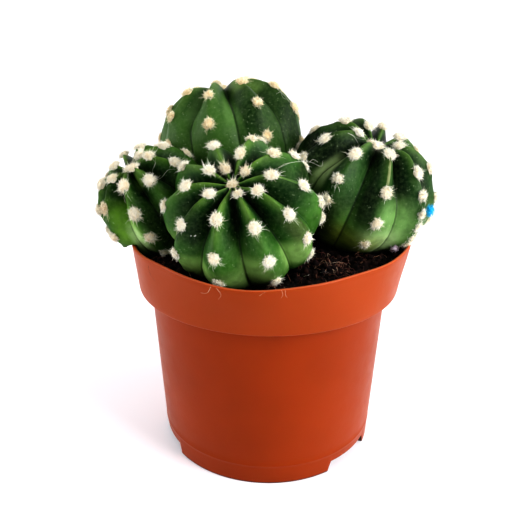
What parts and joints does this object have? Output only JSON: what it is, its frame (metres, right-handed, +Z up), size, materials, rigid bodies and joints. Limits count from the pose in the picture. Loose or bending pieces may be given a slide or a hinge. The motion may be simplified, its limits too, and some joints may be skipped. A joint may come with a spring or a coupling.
{
  "type": "potted echinopsis denudata",
  "caption": "Potted Echinopsis denudata: a clump of ribbed green cactus globes with woolly areoles, in dark peat in a terracotta-coloured plastic nursery pot.",
  "frame": {"origin": "on the table plane that the pot rests on, below the middle of the whole object; the pot's own axis stands 0.8 mm to +X and 2.8 mm to -Y of it", "axes": "+Z up along the pot's axis, -Y towards the side that the picture shows, +X to that view's right"},
  "size_m": [0.1054, 0.0932, 0.1147],
  "materials": {
    "pot_plastic": "satin",
    "peat": "rough",
    "cactus_flesh": "satin"
  },
  "bodies": {
    "root": {"pot": "pot_plastic", "soil": "peat", "stem_front": "cactus_flesh", "stem_back": "cactus_flesh", "stem_right": "cactus_flesh", "stem_left": "cactus_flesh"}
  },
  "joints": []
}
